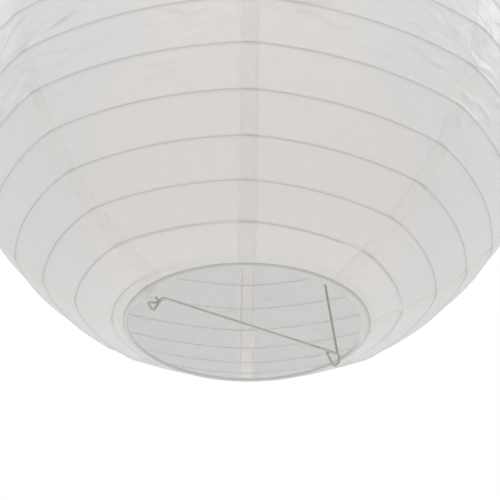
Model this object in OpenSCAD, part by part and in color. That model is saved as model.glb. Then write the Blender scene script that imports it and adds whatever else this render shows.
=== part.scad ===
// Accordion paper lantern, 400 mm: eight paper gores over one spiral wire, two end
// rings with paper hems, and the bent-wire expander that hangs it and holds it open.
// Millimetres, +Z up. The origin is where the hanging loop rests on its hook.
// The expander lies in the XZ plane. Its upright rises from the +X side to near the axis.

/* [Shade] */
// Diameter of the shade at its widest
shade_d = 400; // [300:1:450]
// Height between the centres of the two end rings
shade_h = 350; // [260:1:360]
// Thickness of a paper sheet
paper_t = 0.3; // [0.2:0.05:0.5]
// Number of paper gores round the shade
gore_count = 8; // [8:1:8]
// Width of the strip where two gores overlap
seam_w = 9; // [5:0.5:12]
// Angle of the first seam from the +X side
seam_angle = 12; // [0:1:44]

/* [Spiral wire] */
// Diameter of the spiral wire
spiral_d = 1.2; // [0.8:0.1:1.6]
// Turns of the spiral between the end rings
spiral_turns = 17.2; // [12:0.1:18]
// Angle at which the spiral starts beside the bottom ring
spiral_start = -155; // [-180:1:180]

/* [End rings] */
// Diameter of the end rings, to the centre of their wire
ring_d = 153; // [150:1:170]
// Diameter of the end rings' wire
ring_wire_d = 2.2; // [1.6:0.1:2.4]
// Inner diameter of the paper hems
hem_d = 146; // [146:0.5:147]

/* [Expander] */
// Diameter of the expander's wire
wire_d = 1.6; // [1.2:0.1:1.6]
// Distance from the axis to the foot of the upright
foot_x = 71.6; // [69:0.1:71.6]
// Distance from the axis to the top of the upright
upright_top_x = 10; // [6:1:20]
// Height of the centre of the hanging loop above the top ring
loop_rise = 27; // [22:1:40]
// Radius of the hanging loop, to the centre of its wire
loop_r = 8; // [7:0.5:10]

/* [Colours] */
// Colour of the paper
paper_colour = "whitesmoke"; // [whitesmoke, ivory, linen]
// Colour of the bare wire
wire_colour = "silver"; // [silver, gray]
// Colour of the spiral wire's coating
coat_colour = "gainsboro"; // [gainsboro, white]

/* [Hidden] */
$fn = 96;

// Heights of the two rings and of the middle of the shade.
top_z = -(loop_rise + loop_r - wire_d / 2);
bottom_z = top_z - shade_h;
middle_z = (top_z + bottom_z) / 2;

// The shade's outline is one circular arc, from ring to ring through the widest point.
drop = (shade_d - ring_d) / 2;
arc_r = (drop * drop + shade_h * shade_h / 4) / (2 * drop);
arc_x = shade_d / 2 - arc_r;
arc_end = asin(shade_h / 2 / arc_r);

// The gores stop this far short of each ring's centre, and the hem closes the gap.
gore_cut = 1.8;
gore_angle = 360 / gore_count;
// Half the slit between two neighbouring sheets and half the seam, as angles.
slit_angle = 0.02;
seam_half = seam_w / shade_d * 180 / PI;
// The gap under a flap, and how far its glue line stops short of the gore's ends.
flap_gap = 0.05;
glue_end = 2;

// Clearance between the spiral and the paper, and the arc it leaves free at each end.
spiral_gap = 0.15;
spiral_end = 1.6;
spiral_steps = 40;
spiral_sides = 5;

// The hem: a flat band outside the ring, then a strip that slopes up to the gores.
hem_gap = 0.1;
hem_x = ring_wire_d / 2 + hem_gap;
hem_slope_x = 3.2;
hem_slope_z = 2.7;

// The expander's wire: sides of its section, points on each bend and the bends' size.
wire_sides = 8;
bend_steps = 5;
bend_size = 2.2;
// Sideways offsets that let the wire pass itself at an eye, at the top bar and at the loop.
pass_y = 0.95;
wrap_y = 1.2;
loop_y = 1.3;
// The bottom bar: its height and ends, from the bottom ring's centre.
bar_z = 0.2;
bar_end = 62.4;
// The eyes at its ends: outer corner, lowest point of the right and of the left eye, and
// the right eye's top corner.
eye_outer = [72, -5.4];
eye_tip = [67.6, -9.6];
left_tip = [67.6, -10.6];
eye_top_x = 71.2;
// The left eye's end wraps round the bar and points up; the right eye's turns to the foot.
eye_tail = [65.9, 0.2];
eye_turn = [62, -2.6];
turn_z = 0.6;
foot_z = 0.9;
// The top hooks, from the top ring's centre: how far the hairpin reaches under the ring,
// its two levels, the level of the loop's foot, and where the hooks begin and end.
hook_x = 77;
hook_bulge = 1.2;
hook_top = -2.3;
hook_low = -4.9;
hook_inner = 70.2;
hook_foot = -10;
hook_tail = -18;
bar_rise = [60, 67];
loop_foot_z = -0.85;
// The hanging loop's arc ends here, and the wire crosses itself below it.
loop_end = -50;
loop_step = 19;

// Unit vector, and the point on segment a-b at distance d from a.
function unit(v) = v / norm(v);
function along(a, b, d) = a + unit(b - a) * d;

// A bend: points of a short curve that cuts the corner b between a and c.
function bend(a, b, c, r) =
    let(
        cut = min(r, 0.48 * norm(a - b), 0.48 * norm(c - b)),
        p = along(b, a, cut),
        q = along(b, c, cut)
    )
    [for (i = [0 : bend_steps])
        let(t = i / bend_steps)
        (1 - t) * (1 - t) * p + 2 * t * (1 - t) * b + t * t * q];

// The path through corner points, with each corner bent.
function bent_path(corners, r) =
    let(last = len(corners) - 1)
    concat(
        [corners[0]],
        [for (i = [1 : last - 1]) each bend(corners[i - 1], corners[i], corners[i + 1], r)],
        [corners[last]]
    );

// Tangent at each point of a path.
function tangents(path) =
    let(last = len(path) - 1)
    [for (i = [0 : last]) unit(path[min(i + 1, last)] - path[max(i - 1, 0)])];

// Side vectors carried along the path without twist.
function square_to(v, t) = unit(v - (v * t) * t);
function carried(ts, start) =
    [for (i = 0, v = square_to(start, ts[0]);
        i < len(ts);
        i = i + 1, v = i < len(ts) ? square_to(v, ts[i]) : v) v];

// A closed round wire along a path.
module wire(path, d, sides, start) {
    ts = tangents(path);
    us = carried(ts, start);
    count = len(path);
    points = [for (i = [0 : count - 1], j = [0 : sides - 1])
        let(a = 360 * j / sides)
        path[i] + d / 2 * (cos(a) * us[i] + sin(a) * cross(ts[i], us[i]))];
    walls = [for (i = [0 : count - 2], j = [0 : sides - 1])
        let(k = (j + 1) % sides, low = i * sides, high = low + sides)
        each [[low + j, high + j, high + k], [low + j, high + k, low + k]]];
    caps = concat(
        [for (j = [1 : sides - 2]) [0, j, j + 1]],
        [for (j = [1 : sides - 2]) let(e = (count - 1) * sides) [e, e + j + 1, e + j]]
    );
    polyhedron(points = points, faces = concat(walls, caps), convexity = 10);
}

// One layer of the shade's outline, as a flat shape to turn about the axis.
module outline(inner, outer, half) {
    intersection() {
        difference() {
            translate([arc_x, 0])
                circle(r = arc_r + outer, $fn = 240);
            translate([arc_x, 0])
                circle(r = arc_r + inner, $fn = 240);
        }
        translate([ring_d / 2, -half])
            square([shade_d, 2 * half]);
    }
}

// A part turn of one layer of the shade.
module layer(inner, outer, half, from, to) {
    rotate([0, 0, from])
        rotate_extrude(angle = to - from, $fn = 240)
            outline(inner, outer, half);
}

// A gore: its sheet, the flap that overlaps the gore before it, and the glue line that
// joins the two.
module gore(index) {
    half = shade_h / 2 - gore_cut;
    color(paper_colour)
        translate([0, 0, middle_z])
            rotate([0, 0, seam_angle + (index - 1) * gore_angle]) {
                layer(-paper_t, 0, half, slit_angle, gore_angle - slit_angle);
                layer(flap_gap, flap_gap + paper_t, half, -seam_half, seam_half);
                layer(-paper_t / 2, flap_gap + paper_t / 2, half - glue_end,
                    seam_half * 0.2, seam_half * 0.8);
            }
}

// An end ring of round wire.
module ring(z) {
    color(wire_colour)
        translate([0, 0, z])
            rotate_extrude()
                translate([ring_d / 2, 0])
                    circle(d = ring_wire_d);
}

// A hem of folded paper. It lies on the far side of its ring: side is 1 at the top
// and -1 at the bottom.
module hem(z, side) {
    far = side * hem_x;
    sheet = side * paper_t;
    elbow_x = ring_d / 2 + 0.7;
    color(paper_colour)
        translate([0, 0, z])
            rotate_extrude()
                polygon([
                    [hem_d / 2, far],
                    [hem_d / 2, far + sheet],
                    [elbow_x + 0.1, far + sheet],
                    [elbow_x + hem_slope_x + 0.2, far - side * hem_slope_z + sheet * 0.7],
                    [elbow_x + hem_slope_x, far - side * hem_slope_z],
                    [elbow_x, far]
                ]);
}

module top_ring() {
    ring(top_z);
}

module bottom_ring() {
    ring(bottom_z);
}

module top_hem() {
    hem(top_z, 1);
}

module bottom_hem() {
    hem(bottom_z, -1);
}

// The spiral runs just inside the paper, with the same arc of paper between turns.
module spiral_wire() {
    r = arc_r - paper_t - spiral_gap - spiral_d / 2;
    low = -arc_end + spiral_end;
    high = arc_end - spiral_end;
    count = ceil(spiral_turns * spiral_steps);
    path = [for (i = [0 : count])
        let(
            t = i / count,
            lift = low + (high - low) * t,
            turn = spiral_start - 360 * spiral_turns * t,
            x = arc_x + r * cos(lift)
        )
        [x * cos(turn), x * sin(turn), middle_z + r * sin(lift)]];
    color(coat_colour)
        wire(path, spiral_d, spiral_sides, [0, 0, 1]);
}

// The hanging loop, from the top of the upright round to the loop's left foot.
function loop_points(z) =
    let(
        rise = loop_rise - loop_foot_z,
        reach = norm([upright_top_x, rise]),
        start = atan2(rise, -upright_top_x) + asin(loop_r / reach) + 90,
        count = round((start - loop_end) / loop_step),
        run = (rise + loop_r * sin(loop_end)) / cos(loop_end),
        end_x = loop_r * cos(loop_end)
    )
    concat(
        [for (i = [0 : count])
            let(a = start + (loop_end - start) * i / count)
            [loop_r * cos(a), loop_y * (1 - 2 * i / count), z + loop_rise + loop_r * sin(a)]],
        [[end_x + run * sin(loop_end), 0, z + loop_foot_z]]
    );

// The expander: one wire, from the cut end at the left eye, along the bottom bar, round
// the right eye, up the slanting upright, round the hanging loop, out to the left hook,
// and back under the loop to the right hook.
module expander_wire() {
    left_eye = [
        [-eye_tail[0], wrap_y, bottom_z + eye_tail[1]],
        [-eye_turn[0], wrap_y, bottom_z + eye_turn[1]],
        [-eye_outer[0], wrap_y / 2, bottom_z + eye_outer[1]],
        [-left_tip[0], 0, bottom_z + left_tip[1]],
        [-bar_end, -pass_y, bottom_z + bar_z]
    ];
    right_eye = [
        [eye_top_x, -pass_y, bottom_z + bar_z],
        [eye_outer[0], -pass_y / 2, bottom_z + eye_outer[1]],
        [eye_tip[0], 0, bottom_z + eye_tip[1]],
        [bar_end, pass_y, bottom_z + turn_z]
    ];
    upright = [
        [foot_x, pass_y, bottom_z + foot_z],
        [upright_top_x, pass_y, top_z + loop_foot_z]
    ];
    left_hook = [
        [-bar_rise[1], 0, top_z + hook_top],
        [-hook_x, 0, top_z + hook_top],
        [-hook_x - hook_bulge, 0, top_z + (hook_low + hook_top) / 2],
        [-hook_x, 0, top_z + hook_low],
        [-bar_rise[0], -pass_y, top_z + hook_low]
    ];
    right_hook = [
        [bar_rise[0], -pass_y, top_z + hook_low],
        [bar_rise[1], 0, top_z + hook_top],
        [hook_x, 0, top_z + hook_top],
        [hook_x + hook_bulge, 0, top_z + (hook_low + hook_top) / 2],
        [hook_x, 0, top_z + hook_low],
        [hook_inner, 0, top_z + hook_foot],
        [hook_inner, 0, top_z + hook_tail]
    ];
    corners = concat(left_eye, right_eye, upright, loop_points(top_z), left_hook, right_hook);
    color(wire_colour)
        wire(bent_path(corners, bend_size), wire_d, wire_sides, [0, 1, 0]);
}

expander_wire();
top_ring();
top_hem();
bottom_ring();
bottom_hem();
spiral_wire();
gore(1);  // gore_1
gore(2);  // gore_2
gore(3);  // gore_3
gore(4);  // gore_4
gore(5);  // gore_5
gore(6);  // gore_6
gore(7);  // gore_7
gore(8);  // gore_8
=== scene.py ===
import math

import bpy
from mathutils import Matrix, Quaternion, Vector, noise


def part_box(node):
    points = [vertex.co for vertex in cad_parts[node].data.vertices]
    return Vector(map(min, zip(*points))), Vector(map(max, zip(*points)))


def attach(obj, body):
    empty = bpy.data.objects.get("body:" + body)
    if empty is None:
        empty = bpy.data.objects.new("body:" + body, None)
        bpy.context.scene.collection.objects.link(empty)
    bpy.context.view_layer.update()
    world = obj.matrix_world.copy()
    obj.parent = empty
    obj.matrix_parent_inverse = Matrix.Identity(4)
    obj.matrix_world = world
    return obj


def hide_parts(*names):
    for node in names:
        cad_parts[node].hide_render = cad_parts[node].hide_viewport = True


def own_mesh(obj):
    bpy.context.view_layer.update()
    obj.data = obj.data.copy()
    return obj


# The origin is inside the top of the hanging loop, and Z is the lantern's axis.
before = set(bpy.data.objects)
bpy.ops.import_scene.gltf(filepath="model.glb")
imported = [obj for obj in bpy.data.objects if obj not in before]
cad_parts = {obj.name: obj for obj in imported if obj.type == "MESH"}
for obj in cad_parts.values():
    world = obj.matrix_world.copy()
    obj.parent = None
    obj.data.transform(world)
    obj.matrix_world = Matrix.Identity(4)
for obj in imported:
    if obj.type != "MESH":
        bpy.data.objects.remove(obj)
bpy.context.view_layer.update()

MM = 0.001

# ---------------------------------------------------------------- sizes from the frame

# Radii of the three wires.
RING_WIRE_R = 1.1 * MM
WIRE_R = 0.8 * MM
SPIRAL_R = 0.6 * MM

top_low, top_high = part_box("top_ring")
bottom_low, bottom_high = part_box("bottom_ring")
TOP_Z = (top_low.z + top_high.z) / 2
BOTTOM_Z = (bottom_low.z + bottom_high.z) / 2
MIDDLE_Z = (TOP_Z + BOTTOM_Z) / 2
HALF_H = (TOP_Z - BOTTOM_Z) / 2
RING_R = top_high.x - RING_WIRE_R

# The shade's outline is one arc, as in the CAD model. A height on it is given as the
# angle from its middle, called the lift.
SHADE_R = 200 * MM
DROP = SHADE_R - RING_R
ARC_R = (DROP * DROP + HALF_H * HALF_H) / (2 * DROP)
ARC_X = SHADE_R - ARC_R
ARC_END = math.asin(HALF_H / ARC_R)

# The seams between the gores.
GORES = 8
GORE = math.tau / GORES
SEAM_0 = math.radians(12)
SEAM_HALF = 5 * MM
WARM_SEAM = SEAM_0 + 5 * GORE

# The spiral wire.
TURNS = 17.2
SPIRAL_START = math.radians(-155)
SPIRAL_END_GAP = math.radians(1.6)
SPIRAL_LOW = -ARC_END + SPIRAL_END_GAP
SPIRAL_HIGH = ARC_END - SPIRAL_END_GAP
LIFT_PER_TURN = (SPIRAL_HIGH - SPIRAL_LOW) / TURNS
PITCH = LIFT_PER_TURN * ARC_R


# ---------------------------------------------------------------- camera

LENS = 105.5
SENSOR = 36
CAMERA_AZIMUTH = math.radians(-123)
CAMERA_DROP = math.radians(28.43)
CAMERA_FAR = 12.1 * RING_R
CAMERA_TILT = math.radians(2.96)
CAMERA_YAW = math.radians(0.11)
CAMERA_ROLL = math.radians(0.52)


def add_camera():
    """The camera stands below the lantern's mouth and looks up past it."""
    back = Vector((
        math.cos(CAMERA_AZIMUTH) * math.cos(CAMERA_DROP),
        math.sin(CAMERA_AZIMUTH) * math.cos(CAMERA_DROP),
        -math.sin(CAMERA_DROP),
    ))
    camera = bpy.data.objects.new("camera", bpy.data.cameras.new("camera"))
    camera.data.lens = LENS
    camera.data.sensor_width = SENSOR
    camera.data.clip_start = 10 * MM
    camera.location = Vector((0, 0, BOTTOM_Z)) + back * CAMERA_FAR
    heading = Quaternion((0, 0, 1), CAMERA_AZIMUTH + math.pi / 2 - CAMERA_YAW)
    pitch = Quaternion((1, 0, 0), math.pi / 2 + CAMERA_DROP + CAMERA_TILT)
    roll = Quaternion((0, 0, 1), CAMERA_ROLL)
    camera.rotation_mode = "QUATERNION"
    camera.rotation_quaternion = heading @ pitch @ roll
    bpy.context.collection.objects.link(camera)
    bpy.context.scene.camera = camera


add_camera()


# ---------------------------------------------------------------- the paper's surface

# The soft corners at the seams: how strong and how round they are, and how far from the
# rings they fade out.
CORNER = 0.3
CORNER_SOFT = 0.035
CORNER_FADE = 0.14
CORNER_MEAN = math.cos(GORE / 2) * math.asinh(math.tan(GORE / 2)) / (GORE / 2)

# The paper over the wire: the ridge that the wire lifts, and the sag between its turns.
RIB_HIGH = 0.6 * MM
RIB_WIDE = 0.85 * MM
SAG = 0.7 * MM
PAPER_DEEP = -0.3 * MM
SLACK_MEAN = 0.75
SLACK_SPREAD = 0.6

# The turns over which the ridge, and the wire's painted shadow line, fade at the spiral's two
# ends.
RIDGE_FADE = 0.03
SHADOW_LINE_GAP = 0.02
SHADOW_LINE_FADE = 0.1

# How fast the slack changes round the shade, and from one turn of the wire to the next.
SLACK_RATE = 9
SLACK_STEP = 1.7

# How high the puckers are, and the creases one way and the other.
PUCKER_HIGH = 0.16 * MM
CREASE_HIGH = 0.34 * MM
CROSS_HIGH = 0.26 * MM

# How large they and the loose patches are in millimetres: along and up the paper, or for
# the creases along its two diagonals. The steps are how far the noise moves on from one
# turn of the wire to the next, and the last two values keep the creases' noises apart.
LOOSE_SIZE = (90, 60)
LOOSE_STEP = 0.61
LOOSE_MEAN = 0.5
LOOSE_SPREAD = 1.6
PUCKER_SIZE = (4.5, 30)
PUCKER_STEP = 2.3
CREASE_SIZE = (26, 13)
CROSS_SIZE = (34, 11)
CROSS_SLANT = 1.4
CREASE_APART = 0.4
CROSS_APART = 5.2

# The gores end just outside each ring, where the hem wraps it, and stand out a little.
GORE_STOP = 1.5 * MM
PAPER_END = math.acos((RING_R + GORE_STOP - ARC_X) / ARC_R)
END_FLARE = 1.25 * MM
END_LONG = 0.035

# The warm tone about one seam: its half width, how that widens toward the bottom, and how
# its edge wavers. A pair of rates is for the way round the shade and the way up it.
WARM_REACH = 0.42
WARM_WIDENS = 1.2
WARM_FROM = -0.45
WARM_RAGGED = 0.08
WARM_SOFT = 0.16
WARM_RATES = (6, 5)

# Where the paper is creased, by lift, and how patchily.
CREASED_FROM = -0.75
CREASED_OVER = 0.55
CREASED_MEAN = 0.55
CREASED_PATCHY = 1.1
CREASED_LEAST = 0.12
CREASED_RATES = (3.2, 3)

SEED = Vector((3.1, 7.7, 1.9))


def smooth(x):
    """0 below 0, 1 above 1, and a smooth step between them."""
    x = min(1.0, max(0.0, x))
    return x * x * (3 - 2 * x)


def noise_at(x, y, z, seed=SEED):
    return noise.noise(Vector((x, y, z)) + seed)


def noise_round(azimuth, rate, z):
    """Noise that joins up with itself round the axis."""
    return noise_at(math.cos(azimuth) * rate, math.sin(azimuth) * rate, z)


def ridged(x, y, z):
    """Noise with sharp crests, for creased paper."""
    return 1 - 2 * abs(noise_at(x, y, z))


def rib_phase(azimuth, lift):
    """Turns of the spiral at a point of the shade: whole numbers lie on the wire."""
    turn = (lift - SPIRAL_LOW) / LIFT_PER_TURN
    return turn + (azimuth - SPIRAL_START) / math.tau


def rib_distance(azimuth, lift):
    """Distance along the outline from the nearest turn of the wire."""
    phase = rib_phase(azimuth, lift)
    return (phase - round(phase)) * PITCH


def turns_from_start(azimuth, lift):
    """Turns along the wire, from its lower end to the place nearest to this point."""
    return round(rib_phase(azimuth, lift)) - (azimuth - SPIRAL_START) / math.tau


def wire_there(azimuth, lift):
    """1 where the spiral runs, fading to 0 past its two ends."""
    turn = turns_from_start(azimuth, lift)
    return smooth(turn / RIDGE_FADE + 1) * smooth((TURNS - turn) / RIDGE_FADE + 1)


def wire_shadow_strength(azimuth, lift):
    """How strongly the wire's painted shadow line shows: its two ends fade in over a tenth of a
    turn.
    """
    turn = turns_from_start(azimuth, lift)
    return smooth((turn - SHADOW_LINE_GAP) / SHADOW_LINE_FADE) * smooth((TURNS - turn - SHADOW_LINE_GAP) / SHADOW_LINE_FADE)


def corner(azimuth, lift):
    """The gores meet at soft corners, and are flatter between them."""
    fade = smooth((ARC_END - abs(lift)) / CORNER_FADE)
    turn = (azimuth - SEAM_0 + GORE / 2) % GORE - GORE / 2
    off = GORE / 2 - math.hypot(turn, CORNER_SOFT)
    flat = math.cos(GORE / 2) / math.cos(off)
    return 1 + CORNER * fade * (flat - CORNER_MEAN)


def shade_point(azimuth, lift, offset):
    """The point of the shade at an azimuth and a lift, this far outside its outline."""
    r = (ARC_X + (ARC_R + offset) * math.cos(lift)) * corner(azimuth, lift)
    return Vector((
        r * math.cos(azimuth),
        r * math.sin(azimuth),
        MIDDLE_Z + (ARC_R + offset) * math.sin(lift),
    ))


def paper_waves(azimuth, lift, bay):
    """Puckers up and down the paper, with creases across it where it is loose. The noise
    is laid out in millimetres along the paper."""
    along = azimuth * SHADE_R / MM
    up = lift * ARC_R / MM
    patch = noise_at(along / LOOSE_SIZE[0], up / LOOSE_SIZE[1], bay * LOOSE_STEP, SEED * 3)
    loose = smooth(LOOSE_MEAN + LOOSE_SPREAD * patch)
    pucker = noise_at(along / PUCKER_SIZE[0], up / PUCKER_SIZE[1], bay * PUCKER_STEP)
    slanted = along - up * CROSS_SLANT
    crease = ridged((along + up) / CREASE_SIZE[0], (up - along) / CREASE_SIZE[1], CREASE_APART)
    cross = ridged(slanted / CROSS_SIZE[0], (up + along) / CROSS_SIZE[1], CROSS_APART)
    return PUCKER_HIGH * pucker + loose * (CREASE_HIGH * crease + CROSS_HIGH * cross)


def paper_offset(azimuth, lift):
    """Height of the paper over the outline: it is drawn over the wire, and sags between."""
    d = rib_distance(azimuth, lift)
    x = abs(d) / (PITCH / 2)
    bay = math.floor(rib_phase(azimuth, lift))
    ridge = RIB_HIGH * math.exp(-((d / RIB_WIDE) ** 2)) * wire_there(azimuth, lift)
    # 0 on the wire, 1 midway between two turns.
    free = x * (2 - x)
    slack = SLACK_MEAN + SLACK_SPREAD * noise_round(azimuth, SLACK_RATE, bay * SLACK_STEP)
    wave = free * paper_waves(azimuth, lift, bay)
    drape = ridge - RIB_HIGH - SAG * free * slack + wave
    end = smooth((abs(lift) - PAPER_END) / END_LONG + 1)
    return drape * (1 - end) + PAPER_DEEP + END_FLARE * end


def warmth(azimuth, lift):
    """The paper is a little warmer about one seam, more widely so toward the bottom."""
    off = abs((azimuth - WARM_SEAM + math.pi) % math.tau - math.pi)
    widened = WARM_REACH + WARM_WIDENS * max(0.0, WARM_FROM - lift)
    edge = noise_round(azimuth, WARM_RATES[0], lift * WARM_RATES[1])
    return smooth((widened + WARM_RAGGED * edge - off) / WARM_SOFT)


def creasing(azimuth, lift):
    """How creased the paper is, 0 to 1: more toward the shade's middle, and in patches."""
    high = smooth((lift - CREASED_FROM) / CREASED_OVER)
    spread = noise_round(azimuth, CREASED_RATES[0], lift * CREASED_RATES[1])
    patch = CREASED_MEAN + CREASED_PATCHY * spread
    return min(1.0, max(0.0, high * patch + CREASED_LEAST))


# ---------------------------------------------------------------- gores

# Rows of the mesh across one pitch, closer together near the wire.
ROW_STEPS = (0, 0.018, 0.038, 0.065, 0.11, 0.18, 0.28, 0.39, 0.5, 0.61, 0.72, 0.82, 0.89, 0.935,
             0.962, 0.982)
# The rows follow the turns that every column of the gore has whole. These margins, in
# radians and in turns, make sure of that, and END_ROWS more rows go on to each end.
EDGE_MARGIN = 0.06
TURN_MARGIN = 0.12
END_ROWS = 14
# The columns, and how strongly they gather at the two edges, where the overlaps are.
COLUMNS = 72
GATHER = 0.13

# The overlaps: how far each sheet stands off the other, and how softly its tone ends.
SEAM_LAP = 0.14 * MM
SEAM_FADE = 1.2 * MM
UNDER_FADE = 0.8 * MM
# The gore's cut edges: how ragged they are, and how the upper one curls. The steps are how
# far the noise moves on from one gore, or one edge, to the next, and the values called
# apart keep one noise from another.
RAGGED_BROAD = 0.6 * MM
RAGGED_FINE = 0.25 * MM
RAGGED_RATE = 14
RAGGED_FINER = 5.3
RAGGED_GORE_STEP = 5.1
RAGGED_EDGE_STEP = 9.0
CURL_WIDE = 1.2 * MM
CURL_MEAN = 0.08 * MM
CURL_SPREAD = 0.3 * MM
CURL_RATE = 40
CURL_APART = 6
# Each overlap in turn: how much more light its upper layer passes, and how pale it is.
SEAM_THIN = (1.7, 2.0, 1.6, 1.0, 0.7, 1.0, 0.7, 1.0)
SEAM_PALE = (0.8, 1.0, 0.8, 1.0, 0.72, 0.45, 0.72, 1.0)
# The glue's patches, and how the overlap fades from the bottom toward the middle.
PATCHY_MEAN = 0.85
PATCHY_SPREAD = 0.6
PATCHY_RATE = 9
PATCHY_GORE_STEP = 3.3
PATCHY_APART = 2
PATCHY_FADE = 0.55
PATCHY_FROM = -0.85
PATCHY_OVER = 0.6
# The width of the painted shadow line that the wire casts on the paper.
WIRE_SHADOW_WIDE = 0.45 * MM


def gore_rows(azimuth, first, last):
    """Heights of a column's points, from the bottom ring to the top ring."""
    shift = (azimuth - SPIRAL_START) / math.tau
    ribs = [
        SPIRAL_LOW + (rib + step - shift) * LIFT_PER_TURN
        for rib in range(first, last) for step in ROW_STEPS
    ]
    ribs.append(SPIRAL_LOW + (last - shift) * LIFT_PER_TURN)
    low = [-PAPER_END + (ribs[0] + PAPER_END) * i / END_ROWS for i in range(END_ROWS)]
    high = [PAPER_END - (PAPER_END - ribs[-1]) * i / END_ROWS for i in range(END_ROWS)]
    return low + ribs + high[::-1]


def lap_width(index, edge, lift):
    """Half width of the overlap at an edge of the gore, 0 or 1, cut a little raggedly."""
    spot = SEED + Vector((
        lift * RAGGED_RATE, index * RAGGED_GORE_STEP, edge * RAGGED_EDGE_STEP
    ))
    fine = noise.noise(spot * RAGGED_FINER)
    return SEAM_HALF + RAGGED_BROAD * noise.noise(spot) + RAGGED_FINE * fine


def glue_patches(index, lift):
    """How plainly the overlap shows at this height."""
    spread = noise_at(lift * PATCHY_RATE, index * PATCHY_GORE_STEP, PATCHY_APART)
    patchy = PATCHY_MEAN + PATCHY_SPREAD * spread
    return patchy * (1 - PATCHY_FADE * smooth((lift - PATCHY_FROM) / PATCHY_OVER))


def edge_curl(index, lift, from_edge):
    """How far the upper sheet's cut edge stands up, at a distance in from it."""
    curl = CURL_MEAN + CURL_SPREAD * noise_at(lift * CURL_RATE, index, CURL_APART, Vector())
    return max(0.0, curl) * (1 - smooth(from_edge / CURL_WIDE))


def add_mesh(name, points, faces, material, smooth_faces=True):
    """A new piece of these points and faces, all of one material."""
    mesh = bpy.data.meshes.new(name)
    mesh.from_pydata([tuple(p) for p in points], [], faces)
    mesh.update()
    if smooth_faces:
        mesh.polygons.foreach_set("use_smooth", [True] * len(mesh.polygons))
    piece = bpy.data.objects.new(name, mesh)
    piece.data.materials.append(material)
    bpy.context.collection.objects.link(piece)
    return piece


def add_values(piece, name, values):
    """Give each of the piece's points a value, under this name."""
    layer = piece.data.attributes.new(name, "FLOAT", "POINT")
    layer.data.foreach_set("value", values)


def gore_points(index):
    """A gore's points, column by column, and the marks on them that its material uses."""
    near = SEAM_0 + index * GORE
    far = near + GORE
    first = math.ceil(rib_phase(far + EDGE_MARGIN, -PAPER_END) + TURN_MARGIN)
    last = math.floor(rib_phase(near - EDGE_MARGIN, PAPER_END) - TURN_MARGIN)
    points = []
    marks = {"seam": [], "strip": [], "rib": [], "creased": [], "warm": []}
    for c in range(COLUMNS + 1):
        u = c / COLUMNS
        u -= GATHER * math.sin(math.tau * u) / math.pi
        for lift in gore_rows(near + GORE * u, first, last):
            r = ARC_X + ARC_R * math.cos(lift)
            edge = lap_width(index, round(u), lift) / r
            azimuth = near - edge + (GORE + 2 * edge) * u
            over = 1 - smooth((abs(azimuth - near) * r - SEAM_HALF) / SEAM_FADE)
            under = 1 - smooth((abs(azimuth - far) * r - SEAM_HALF) / UNDER_FADE + 1)
            offset = paper_offset(azimuth, lift) + SEAM_LAP * (over - under)
            offset += edge_curl(index, lift, (azimuth - near + edge) * r)
            points.append(shade_point(azimuth, lift, offset))
            patchy = glue_patches(index, lift)
            d = rib_distance(azimuth, lift) / WIRE_SHADOW_WIDE
            marks["seam"].append(over * patchy * SEAM_THIN[index] - under)
            marks["strip"].append(over * min(1.0, patchy) * SEAM_PALE[index])
            # The rib mark is painted shadow: a darker line where the wire blocks the light
            # through the paper.
            marks["rib"].append(math.exp(-d * d) * wire_shadow_strength(azimuth, lift))
            marks["creased"].append(creasing(azimuth, lift))
            marks["warm"].append(warmth(azimuth, lift))
    return points, marks


def add_gore(index, material):
    """One gore: a curved sheet whose one edge lies over its neighbour and the other under."""
    points, marks = gore_points(index)
    rows = len(points) // (COLUMNS + 1)
    faces = [
        (c * rows + r, (c + 1) * rows + r, (c + 1) * rows + r + 1, c * rows + r + 1)
        for c in range(COLUMNS) for r in range(rows - 1)
    ]
    piece = add_mesh(f"paper_gore_{index + 1}", points, faces, material)
    for name, values in marks.items():
        add_values(piece, name, values)
    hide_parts(f"gore_{index + 1}")
    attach(piece, "shade")
    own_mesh(piece)


# ---------------------------------------------------------------- wires

# The rounded end of a cut wire: how narrow its face is and how far it stands out, as
# shares of the wire's radius.
CAP_NARROW = 0.62
CAP_LONG = 0.3
# The spiral's steps to a turn, its sides, and the gap between it and the paper.
SPIRAL_STEPS = 96
SPIRAL_SIDES = 8
SPIRAL_GAP = 0.05 * MM
# The expander's sides, how its corners are rounded, and the share of the straight on
# either side of a corner that its bend takes at most.
WIRE_SIDES = 16
BEND_SIZE = 2.2 * MM
BEND_STEPS = 8
BEND_SHARE = 0.48


def tube_points(path, radius, sides, start):
    """Rings of points round a path, turned as little as the path allows."""
    points = []
    side = Vector(start)
    for i, p in enumerate(path):
        ahead = path[min(i + 1, len(path) - 1)]
        behind = path[max(i - 1, 0)]
        along = (ahead - behind).normalized()
        side = (side - along * side.dot(along)).normalized()
        other = along.cross(side)
        for s in range(sides):
            a = math.tau * s / sides
            points.append(p + radius * (math.cos(a) * side + math.sin(a) * other))
    return points


def add_tube(name, path, radius, material, sides, start=(0, 0, 1)):
    """A closed round wire along a path, with rounded ends. All its faces look outward."""
    points = tube_points(path, radius, sides, start)
    count = len(path)
    faces = []
    for i in range(count - 1):
        for s in range(sides):
            t = (s + 1) % sides
            faces.append((
                i * sides + s, i * sides + t, (i + 1) * sides + t, (i + 1) * sides + s
            ))
    for end, inward in ((0, 1), (count - 1, -1)):
        along = (path[end] - path[end + inward]).normalized()
        inner = len(points)
        base = end * sides
        for s in range(sides):
            rim = points[base + s] - path[end]
            points.append(path[end] + rim * CAP_NARROW + along * radius * CAP_LONG)
        turn = -1 if inward == 1 else 1
        for s in range(sides):
            t = (s + 1) % sides
            quad = (base + s, base + t, inner + t, inner + s)
            faces.append(quad[::turn])
        faces.append(tuple(range(inner, inner + sides))[::turn])
    return add_mesh(name, points, faces, material)


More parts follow.
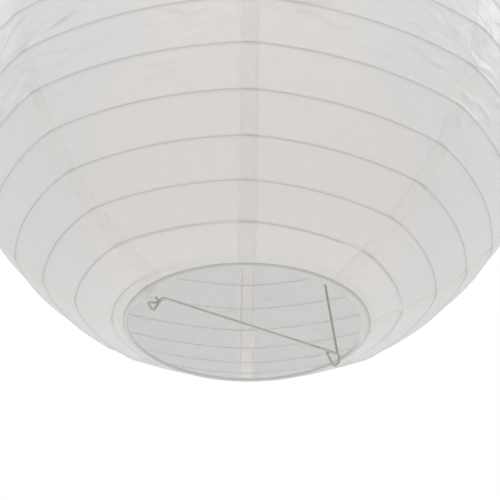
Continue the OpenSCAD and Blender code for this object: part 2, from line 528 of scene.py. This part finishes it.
def add_spiral(material):
    """The spiral wire, just inside the paper."""
    count = math.ceil(TURNS * SPIRAL_STEPS)
    path = []
    for i in range(count + 1):
        t = i / count
        lift = SPIRAL_LOW + (SPIRAL_HIGH - SPIRAL_LOW) * t
        azimuth = SPIRAL_START - math.tau * TURNS * t
        path.append(shade_point(azimuth, lift, PAPER_DEEP - SPIRAL_R - SPIRAL_GAP))
    piece = add_tube("spiral_tube", path, SPIRAL_R, material, SPIRAL_SIDES)
    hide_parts("spiral_wire")
    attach(piece, "shade")
    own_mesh(piece)


def bend(a, b, c):
    """Points of a round corner at b, between a and c."""
    cut = min(BEND_SIZE, BEND_SHARE * (a - b).length, BEND_SHARE * (c - b).length)
    p = b + (a - b).normalized() * cut
    q = b + (c - b).normalized() * cut
    return [
        p * (1 - t) ** 2 + b * (2 * t * (1 - t)) + q * t ** 2
        for t in (i / BEND_STEPS for i in range(BEND_STEPS + 1))
    ]


def bent_path(corners):
    """A path through these corners, with each of them rounded."""
    path = [corners[0]]
    for a, b, c in zip(corners, corners[1:], corners[2:]):
        path += bend(a, b, c)
    path.append(corners[-1])
    return path


# The expander's corners, as in the CAD model, in millimetres from each ring's centre.
PASS_Y = 0.95
WRAP_Y = 1.2
LOOP_Y = 1.3
BAR_Z = 0.2
BAR_END = 62.4
EYE_OUTER = (72, -5.4)
EYE_TIP = (67.6, -9.6)
LEFT_TIP = (67.6, -10.6)
EYE_TOP_X = 71.2
EYE_TAIL = (65.9, 0.2)
EYE_TURN = (62, -2.6)
TURN_Z = 0.6
FOOT_X = 71.6
FOOT_Z = 0.9
UPRIGHT_TOP_X = 10
HOOK_X = 77
HOOK_BULGE = 1.2
HOOK_TOP = -2.3
HOOK_LOW = -4.9
HOOK_INNER = 70.2
HOOK_FOOT = -10
HOOK_TAIL = -18
BAR_RISE = (60, 67)
LOOP_FOOT_Z = -0.85
LOOP_RISE = 27
LOOP_R = 8
LOOP_END = math.radians(-50)
LOOP_STEPS = 28

# Heights above the bottom ring between which the wire is made paler with painted light, and how
# it changes there.
PALER_FROM = 1 * MM
PALER_RISE = 14 * MM
PALER_TO = 150 * MM
PALER_FALL = 120 * MM


def loop_corners():
    """The hanging loop, from the top of the upright round to the loop's left foot."""
    rise = LOOP_RISE - LOOP_FOOT_Z
    reach = math.hypot(UPRIGHT_TOP_X, rise)
    start = math.atan2(rise, -UPRIGHT_TOP_X) + math.asin(LOOP_R / reach) + math.pi / 2
    corners = []
    for i in range(LOOP_STEPS + 1):
        t = i / LOOP_STEPS
        a = start + (LOOP_END - start) * t
        corners.append(
            (LOOP_R * math.cos(a), LOOP_Y * (1 - 2 * t), LOOP_RISE + LOOP_R * math.sin(a))
        )
    run = (rise + LOOP_R * math.sin(LOOP_END)) / math.cos(LOOP_END)
    foot_x = LOOP_R * math.cos(LOOP_END) + run * math.sin(LOOP_END)
    return corners + [(foot_x, 0, LOOP_FOOT_Z)]


def bottom_corners():
    """From the cut end at the left eye, along the bottom bar, to the upright's foot."""
    return [
        (-EYE_TAIL[0], WRAP_Y, EYE_TAIL[1]),
        (-EYE_TURN[0], WRAP_Y, EYE_TURN[1]),
        (-EYE_OUTER[0], WRAP_Y / 2, EYE_OUTER[1]),
        (-LEFT_TIP[0], 0, LEFT_TIP[1]),
        (-BAR_END, -PASS_Y, BAR_Z),
        (EYE_TOP_X, -PASS_Y, BAR_Z),
        (EYE_OUTER[0], -PASS_Y / 2, EYE_OUTER[1]),
        (EYE_TIP[0], 0, EYE_TIP[1]),
        (BAR_END, PASS_Y, TURN_Z),
        (FOOT_X, PASS_Y, FOOT_Z),
    ]


def top_corners():
    """From the upright's top, round the loop and the left hook, to the right hook's end."""
    hook_mid = (HOOK_LOW + HOOK_TOP) / 2
    return [(UPRIGHT_TOP_X, PASS_Y, LOOP_FOOT_Z)] + loop_corners() + [
        (-BAR_RISE[1], 0, HOOK_TOP),
        (-HOOK_X, 0, HOOK_TOP),
        (-HOOK_X - HOOK_BULGE, 0, hook_mid),
        (-HOOK_X, 0, HOOK_LOW),
        (-BAR_RISE[0], -PASS_Y, HOOK_LOW),
        (BAR_RISE[0], -PASS_Y, HOOK_LOW),
        (BAR_RISE[1], 0, HOOK_TOP),
        (HOOK_X, 0, HOOK_TOP),
        (HOOK_X + HOOK_BULGE, 0, hook_mid),
        (HOOK_X, 0, HOOK_LOW),
        (HOOK_INNER, 0, HOOK_FOOT),
        (HOOK_INNER, 0, HOOK_TAIL),
    ]


def paler(height):
    """1 along the lower part of the upright, where painted light makes the wire paler, 0 at the
    bottom bar and at the top.
    """
    up = smooth((height - PALER_FROM) / PALER_RISE)
    return up * (1 - smooth((height - PALER_TO) / PALER_FALL))


def add_expander(material):
    """The expander: one bent wire from the cut end at the left eye to the right hook."""
    corners = [Vector((x * MM, y * MM, BOTTOM_Z + z * MM)) for x, y, z in bottom_corners()]
    corners += [Vector((x * MM, y * MM, TOP_Z + z * MM)) for x, y, z in top_corners()]
    path = bent_path(corners)
    piece = add_tube("expander_tube", path, WIRE_R, material, WIRE_SIDES, (0, 1, 0))
    # The mesh's value here is the share of painted light along the upright.
    add_values(piece, "painted_light", [paler(v.co.z - BOTTOM_Z) for v in piece.data.vertices])
    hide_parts("expander_wire")
    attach(piece, "expander")


# ---------------------------------------------------------------- hems

HEM_STEPS = 360
# How far the paper is from the ring wire's centre, and how far it wraps round it, in
# degrees: where the fold lies flat, and how much farther where it closes.
HEM_WRAP = 1.3 * MM
WRAP_ANGLE = 99
CLOSE_ANGLE = 120
WRAP_STEP = 9
FLAT_STEPS = 9
# The flat fold's width, and how unevenly it is cut. A rate is how fast the noise changes,
# and apart is how far the two hems are from each other in it.
HEM_WIDE = 4.7 * MM
HEM_UNEVEN = 0.7 * MM
HEM_UNEVEN_RATE = 2.1
HEM_RAGGED = 0.5 * MM
HEM_RAGGED_RATE = 13
HEM_APART = 4
# How the flat fold curls back and crinkles.
HEM_CURL = 0.5 * MM
HEM_CURL_SPREAD = 0.7 * MM
HEM_CURL_RATE = 5
HEM_CURL_APART = 2
HEM_CRINKLE = 0.18 * MM
HEM_CRINKLE_RATES = (38, 2)
# The fold is flat on the side that faces this way, and closed on the other.
WIDE_SIDE = math.radians(-105)
WIDE_PAST = 0.25
WIDE_SOFT = 0.5
# The fold's painted shade: its least share, where it is closed, and how it grows with the
# wrap's angle, in degrees.
FOLD_SHADE_LEAST = 0.45
SHADE_START = -30
SHADE_RANGE = 70


def hem_broad(azimuth):
    """1 where the fold lies flat and broad, 0 where it closes round the ring."""
    return smooth((math.cos(azimuth - WIDE_SIDE) + WIDE_PAST) / WIDE_SOFT)


def hem_width(azimuth, side):
    """How far the folded paper reaches inward."""
    uneven = HEM_UNEVEN * noise_round(azimuth, HEM_UNEVEN_RATE, side * HEM_APART)
    ragged = HEM_RAGGED * noise_round(azimuth, HEM_RAGGED_RATE, side * HEM_APART)
    return HEM_WIDE + uneven + ragged


def wrap_at(degrees):
    """Where the paper is when it has wrapped this far round the ring."""
    b = math.radians(degrees)
    return HEM_WRAP * math.cos(b), HEM_WRAP * math.sin(b)


def hem_profile(azimuth, side):
    """The fold's outline, as distances out from the ring and away from the shade, and the
    share of painted shade at each of its points."""
    wide = hem_width(azimuth, side)
    broad = hem_broad(azimuth)
    curling = noise_round(azimuth, HEM_CURL_RATE, side * HEM_CURL_APART)
    curl = HEM_CURL + HEM_CURL_SPREAD * curling
    tone = FOLD_SHADE_LEAST + (1 - FOLD_SHADE_LEAST) * broad
    profile = []
    tones = []
    for degrees in range(0, WRAP_ANGLE + 1, WRAP_STEP):
        profile.append(wrap_at(degrees))
        tones.append(smooth((degrees - SHADE_START) / SHADE_RANGE) * tone)
    for step in range(1, FLAT_STEPS + 1):
        s = step / FLAT_STEPS
        crinkling = noise_at(azimuth * HEM_CRINKLE_RATES[0], s * HEM_CRINKLE_RATES[1], side)
        crinkle = HEM_CRINKLE * s * crinkling
        closed = wrap_at(WRAP_ANGLE + CLOSE_ANGLE * s)
        flat = (-wide * s, HEM_WRAP - curl * s * s + crinkle)
        profile.append(tuple(c + (f - c) * broad for c, f in zip(closed, flat)))
        tones.append(tone)
    return profile, tones


def add_hem(name, node, body, z, side, material):
    """A hem: the paper's ends, wrapped under the ring, folded in and cut to an uneven edge.
    side is 1 at the top and -1 at the bottom."""
    points = []
    fold_shades = []
    for i in range(HEM_STEPS):
        a = math.tau * i / HEM_STEPS
        profile, tones = hem_profile(a, side)
        fold_shades += tones
        for x, away in profile:
            r = RING_R + x
            points.append((r * math.cos(a), r * math.sin(a), z + side * away))
    rows = len(points) // HEM_STEPS
    faces = []
    for i in range(HEM_STEPS):
        j = (i + 1) % HEM_STEPS
        for r in range(rows - 1):
            quad = (i * rows + r, j * rows + r, j * rows + r + 1, i * rows + r + 1)
            faces.append(quad if side == 1 else quad[::-1])
    piece = add_mesh(name, points, faces, material)
    # The fold value is the share of painted shade on the hem.
    add_values(piece, "fold", fold_shades)
    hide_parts(node)
    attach(piece, body)


# ---------------------------------------------------------------- material nodes


def new_material(name):
    material = bpy.data.materials.new(name)
    material.use_nodes = True
    tree = material.node_tree
    tree.nodes.clear()
    return material, tree.nodes, tree.links


def finish_material(nodes, links, shader):
    out = nodes.new("ShaderNodeOutputMaterial")
    links.new(shader, out.inputs["Surface"])


def set_socket(links, socket, value):
    """Link a socket to another, or give it a colour or a number."""
    if isinstance(value, bpy.types.NodeSocket):
        links.new(value, socket)
    elif isinstance(value, tuple):
        socket.default_value = (*value, 1)
    else:
        socket.default_value = value


def mix_colour(nodes, links, factor, a, b):
    """Colour a where the factor is 0, and b where it is 1. Sockets 0, 6 and 7 are a colour
    mix's factor and two colours, and output 2 is its result."""
    mix = nodes.new("ShaderNodeMix")
    mix.data_type = "RGBA"
    for socket, value in ((mix.inputs[0], factor), (mix.inputs[6], a), (mix.inputs[7], b)):
        set_socket(links, socket, value)
    return mix.outputs[2]


def math_node(nodes, links, operation, a, b, clamp=False):
    node = nodes.new("ShaderNodeMath")
    node.operation = operation
    node.use_clamp = clamp
    for socket, value in zip(node.inputs, (a, b)):
        set_socket(links, socket, value)
    return node.outputs[0]


def noise_node(nodes, links, vector, kind):
    """A noise texture. kind is its scale, detail and roughness."""
    node = nodes.new("ShaderNodeTexNoise")
    links.new(vector, node.inputs["Vector"])
    for name, value in zip(("Scale", "Detail", "Roughness"), kind):
        node.inputs[name].default_value = value
    return node


def object_place(nodes):
    return nodes.new("ShaderNodeTexCoord").outputs["Object"]


def stretched(nodes, links, vector, scale):
    node = nodes.new("ShaderNodeMapping")
    node.inputs["Scale"].default_value = scale
    links.new(vector, node.inputs["Vector"])
    return node.outputs[0]


def mesh_value(nodes, name):
    """The value that the mesh carries under this name."""
    node = nodes.new("ShaderNodeAttribute")
    node.attribute_name = name
    return node.outputs["Fac"]


def bump_node(nodes, links, height, strength, distance):
    node = nodes.new("ShaderNodeBump")
    node.inputs["Strength"].default_value = strength
    node.inputs["Distance"].default_value = distance
    links.new(height, node.inputs["Height"])
    return node.outputs["Normal"]


def times(colour, share):
    return tuple(c * share for c in colour)


# ---------------------------------------------------------------- paper

WARM = (0.78, 0.757, 0.736)
COOL = (0.765, 0.765, 0.759)
OVERLAP_TONE = (0.84, 0.825, 0.81)
UNDER_TONE = (0.985, 0.97, 0.95)
# The fold tone is painted shade on the hems' folded paper.
FOLD_SHADE_TONE = (0.55, 0.56, 0.535)
# The rib tone is painted shadow of the wire under the paper.
WIRE_SHADOW_SHARE = 0.86
# The share of the light that the paper lets through, what an overlap's upper and lower
# layers add to it, and the hems' own share.
PASSES = 0.38
OVER_ADDS = 0.15
UNDER_ADDS = 0.26
HEM_PASSES = 0.16
PAPER_ROUGH = 0.34

# Tones in the paper: their noises, each as scale, detail and roughness, then how much each
# shows, and its share of the tint.
FIBRES = (620, 6, 0.6)
CLOUDS = (26, 3, 0.5)
STREAKS = (1, 4, 0.62)
STREAKS_DRAWN = (22, 22, 210)
CLOUD_SHARE = 1.035
FIBRE_AMOUNT = 0.25
FIBRE_SHARE = 0.93
STREAK_AMOUNT = 0.3
STREAK_SHARE = 0.88

# The paper's relief: more noises, the height of each kind of mark as a share of the
# relief's depth, and that depth.
WRINKLES = (75, 5, 0.6)
CRUMPLES = (58, 4.5, 0.5)
CRUMPLES_DRAWN = (0.6, 0.6, 1.5)
CRUMPLES_WARPED = 0.7
WRINKLE_HIGH = 0.22
FIBRE_HIGH = 0.012
STREAK_HIGH = 0.05
CRUMPLE_HIGH = 1.6
BUMP_STRENGTH = 0.6
GORE_RELIEF = 6 * MM
HEM_RELIEF = 0.8 * MM


def paper_tone(nodes, links, where, fibres, streaks, marks):
    """The paper's colour. marks gives the tone that each named value of the mesh leads to,
    with the sign of the value that counts."""
    clouds = noise_node(nodes, links, where, CLOUDS).outputs["Fac"]
    base = mix_colour(nodes, links, clouds, COOL, times(COOL, CLOUD_SHARE))
    grain = math_node(nodes, links, "MULTIPLY", fibres, FIBRE_AMOUNT)
    base = mix_colour(nodes, links, grain, base, times(COOL, FIBRE_SHARE))
    thick = math_node(nodes, links, "MULTIPLY", streaks, STREAK_AMOUNT)
    base = mix_colour(nodes, links, thick, base, times(COOL, STREAK_SHARE))
    for name, sign, tone in marks:
        factor = math_node(nodes, links, "MULTIPLY", mesh_value(nodes, name), sign, clamp=True)
        base = mix_colour(nodes, links, factor, base, tone)
    return base


def paper_normal(nodes, links, where, fibres, streaks, relief, creases):
    """Wrinkles, fibres, streaks and crumples, as a bump. creases is None, or names the
    mesh's value that deepens the crumples."""
    drawn = stretched(nodes, links, where, CRUMPLES_DRAWN)
    crumple = noise_node(nodes, links, drawn, CRUMPLES)
    crumple.noise_type = "RIDGED_MULTIFRACTAL"
    crumple.inputs["Distortion"].default_value = CRUMPLES_WARPED
    folded = crumple.outputs["Fac"]
    if creases:
        folded = math_node(nodes, links, "MULTIPLY", folded, mesh_value(nodes, creases))
    wrinkles = noise_node(nodes, links, where, WRINKLES).outputs["Fac"]
    height = math_node(nodes, links, "MULTIPLY", wrinkles, WRINKLE_HIGH)
    for part, high in ((fibres, FIBRE_HIGH), (streaks, STREAK_HIGH), (folded, CRUMPLE_HIGH)):
        raised = math_node(nodes, links, "MULTIPLY", part, high)
        height = math_node(nodes, links, "ADD", height, raised)
    return bump_node(nodes, links, height, BUMP_STRENGTH, relief)


def lapped_passes(nodes, links, passes):
    """The share of light let through, with more in the two layers of an overlap."""
    seam = mesh_value(nodes, "seam")
    over = math_node(nodes, links, "MULTIPLY", seam, OVER_ADDS, clamp=True)
    under = math_node(nodes, links, "MULTIPLY", seam, -UNDER_ADDS, clamp=True)
    extra = math_node(nodes, links, "ADD", over, under)
    return math_node(nodes, links, "ADD", extra, passes)


def paper_material(name, marks, passes, relief, creases=None):
    """Thin white paper: matt fibres that let light through, with a faint calendered gloss.
    relief is the depth of its wrinkles. Paper with creases also has overlaps."""
    material, nodes, links = new_material(name)
    where = object_place(nodes)
    fibres = noise_node(nodes, links, where, FIBRES).outputs["Fac"]
    drawn = stretched(nodes, links, where, STREAKS_DRAWN)
    streaks = noise_node(nodes, links, drawn, STREAKS).outputs["Fac"]
    base = paper_tone(nodes, links, where, fibres, streaks, marks)
    normal = paper_normal(nodes, links, where, fibres, streaks, relief, creases)

    surface = nodes.new("ShaderNodeBsdfPrincipled")
    links.new(base, surface.inputs["Base Color"])
    links.new(normal, surface.inputs["Normal"])
    surface.inputs["Roughness"].default_value = PAPER_ROUGH
    through = nodes.new("ShaderNodeBsdfTranslucent")
    links.new(base, through.inputs["Color"])
    links.new(normal, through.inputs["Normal"])
    both = nodes.new("ShaderNodeMixShader")
    share = lapped_passes(nodes, links, passes) if creases else passes
    set_socket(links, both.inputs[0], share)
    links.new(surface.outputs[0], both.inputs[1])
    links.new(through.outputs[0], both.inputs[2])
    finish_material(nodes, links, both.outputs[0])
    return material


def gore_material():
    marks = [
        ("warm", 1, WARM),
        ("strip", 1, OVERLAP_TONE),
        ("seam", -1, UNDER_TONE),
        # The rib mark darkens the paper with the wire's painted shadow.
        ("rib", 1, times(COOL, WIRE_SHADOW_SHARE)),
    ]
    return paper_material("paper", marks, PASSES, GORE_RELIEF, "creased")


def hem_material():
    # The fold value darkens the hem paper with painted shade.
    return paper_material("paper_hem", [("fold", 1, FOLD_SHADE_TONE)], HEM_PASSES, HEM_RELIEF)


# ---------------------------------------------------------------- wire and floor

# The expander's steel and the rings': a tone, the tone of its dull patches, and the paler
# tone of painted light along the upright.
BRIGHT_TONES = ((0.54, 0.53, 0.51), (0.42, 0.41, 0.39))
DULL_TONES = ((0.5, 0.5, 0.49), (0.36, 0.36, 0.35))
PAINTED_LIGHT_TONE = (0.8, 0.79, 0.77)
METAL = 0.6
PAINTED_LIGHT_LESS_METAL = 0.15
STEEL_PATCHES = (90, 3, 0.55)
STEEL_ROUGH = 0.34
STEEL_PATCHY = 0.22
DRAWING_LINES = (2600, 3, 0.5)
DRAWING_STRENGTH = 0.15
DRAWING_DEEP = 0.05 * MM

# The spiral's white coating, and the floor.
COAT_TONES = ((0.96, 0.96, 0.95), (0.9, 0.9, 0.89))
COAT_PATCHES = (120, 3, 0.55)
COAT_ROUGH = 0.28
COAT_PATCHY = 0.3
FLOOR_TONES = ((0.86, 0.86, 0.86), (0.88, 0.88, 0.88))
FLOOR_CLOUDS = (3, 3, 0.5)
FLOOR_ROUGH = 0.8


def wire_material(name, tones, painted_light=None):
    """Drawn steel wire, with fine drawing lines and dull patches. The last argument, if given,
    is a paler tone of painted light that the mesh's value of that name leads to, where the wire
    is also less mirror-like."""
    material, nodes, links = new_material(name)
    where = object_place(nodes)
    patches = noise_node(nodes, links, where, STEEL_PATCHES).outputs["Fac"]
    lines = noise_node(nodes, links, where, DRAWING_LINES).outputs["Fac"]
    base = mix_colour(nodes, links, patches, *tones)
    surface = nodes.new("ShaderNodeBsdfPrincipled")
    surface.inputs["Metallic"].default_value = METAL
    # Painted light: the mesh's value makes the wire paler and less metallic.
    if painted_light:
        mark = mesh_value(nodes, "painted_light")
        base = mix_colour(nodes, links, mark, base, painted_light)
        less = math_node(nodes, links, "MULTIPLY", mark, PAINTED_LIGHT_LESS_METAL)
        links.new(math_node(nodes, links, "SUBTRACT", METAL, less), surface.inputs["Metallic"])
    links.new(base, surface.inputs["Base Color"])
    uneven = math_node(nodes, links, "MULTIPLY", patches, STEEL_PATCHY)
    links.new(math_node(nodes, links, "ADD", uneven, STEEL_ROUGH), surface.inputs["Roughness"])
    normal = bump_node(nodes, links, lines, DRAWING_STRENGTH, DRAWING_DEEP)
    links.new(normal, surface.inputs["Normal"])
    finish_material(nodes, links, surface.outputs[0])
    return material


def coated_material():
    """The spiral's white coating: glossy in places, and a little worn."""
    material, nodes, links = new_material("coating_white")
    patches = noise_node(nodes, links, object_place(nodes), COAT_PATCHES).outputs["Fac"]
    surface = nodes.new("ShaderNodeBsdfPrincipled")
    base = mix_colour(nodes, links, patches, *COAT_TONES)
    links.new(base, surface.inputs["Base Color"])
    uneven = math_node(nodes, links, "MULTIPLY", patches, COAT_PATCHY)
    links.new(math_node(nodes, links, "ADD", uneven, COAT_ROUGH), surface.inputs["Roughness"])
    finish_material(nodes, links, surface.outputs[0])
    return material


def floor_material():
    material, nodes, links = new_material("floor_pale")
    clouds = noise_node(nodes, links, object_place(nodes), FLOOR_CLOUDS).outputs["Fac"]
    surface = nodes.new("ShaderNodeBsdfPrincipled")
    base = mix_colour(nodes, links, clouds, *FLOOR_TONES)
    links.new(base, surface.inputs["Base Color"])
    surface.inputs["Roughness"].default_value = FLOOR_ROUGH
    finish_material(nodes, links, surface.outputs[0])
    return material


# ---------------------------------------------------------------- the lantern

# The expander's upright is made paler low down with painted light.
steel = wire_material("steel_bright", BRIGHT_TONES, painted_light=PAINTED_LIGHT_TONE)
dull_steel = wire_material("steel_dull", DULL_TONES)
hem_paper = hem_material()

for node in ("top_ring", "bottom_ring"):
    for material_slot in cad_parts[node].material_slots:
        material_slot.material = dull_steel

add_spiral(coated_material())
paper = gore_material()
for gore in range(GORES):
    add_gore(gore, paper)
add_hem("bottom_hem_fold", "bottom_hem", "shade_bottom", BOTTOM_Z, -1, hem_paper)
add_hem("top_hem_fold", "top_hem", "shade", TOP_Z, 1, hem_paper)
add_expander(steel)


# ---------------------------------------------------------------- floor and light

FLOOR_Z = -3.0
FLOOR_HALF = 14


def add_floor():
    corners = ((-1, -1), (1, -1), (1, 1), (-1, 1))
    points = [(x * FLOOR_HALF, y * FLOOR_HALF, FLOOR_Z) for x, y in corners]
    piece = add_mesh("floor", points, [(0, 1, 2, 3)], floor_material(), False)


def add_lamp(name, angle, far, height, watts, size=1.0):
    """A square lamp that faces the middle of the shade. angle is in degrees from the
    camera's side."""
    lamp = bpy.data.lights.new(name, "AREA")
    lamp.shape = "RECTANGLE"
    lamp.size = size
    lamp.size_y = size
    lamp.energy = watts
    azimuth = CAMERA_AZIMUTH + math.radians(angle)
    holder = bpy.data.objects.new(name, lamp)
    holder.location = (far * math.cos(azimuth), far * math.sin(azimuth), height)
    aim = Vector((0, 0, MIDDLE_Z)) - holder.location
    holder.rotation_mode = "QUATERNION"
    holder.rotation_quaternion = aim.to_track_quat("-Z", "Y")
    bpy.context.collection.objects.link(holder)


def add_white_world():
    world = bpy.data.worlds.new("studio")
    world.use_nodes = True
    background = world.node_tree.nodes["Background"]
    background.inputs["Color"].default_value = (1, 1, 1, 1)
    background.inputs["Strength"].default_value = 1.0
    bpy.context.scene.world = world


add_floor()
add_lamp("left", angle=-100, far=2.4, height=1.15, watts=4.5)
add_lamp("right", angle=96, far=2.4, height=1.15, watts=14)
add_lamp("front", angle=-5, far=2.4, height=1.1, watts=11)
add_lamp("top", angle=0, far=0.1, height=2.8, watts=26, size=0.9)
add_lamp("back", angle=176, far=2.2, height=-1.8, watts=6)
add_white_world()
bpy.context.scene.view_settings.view_transform = "Standard"
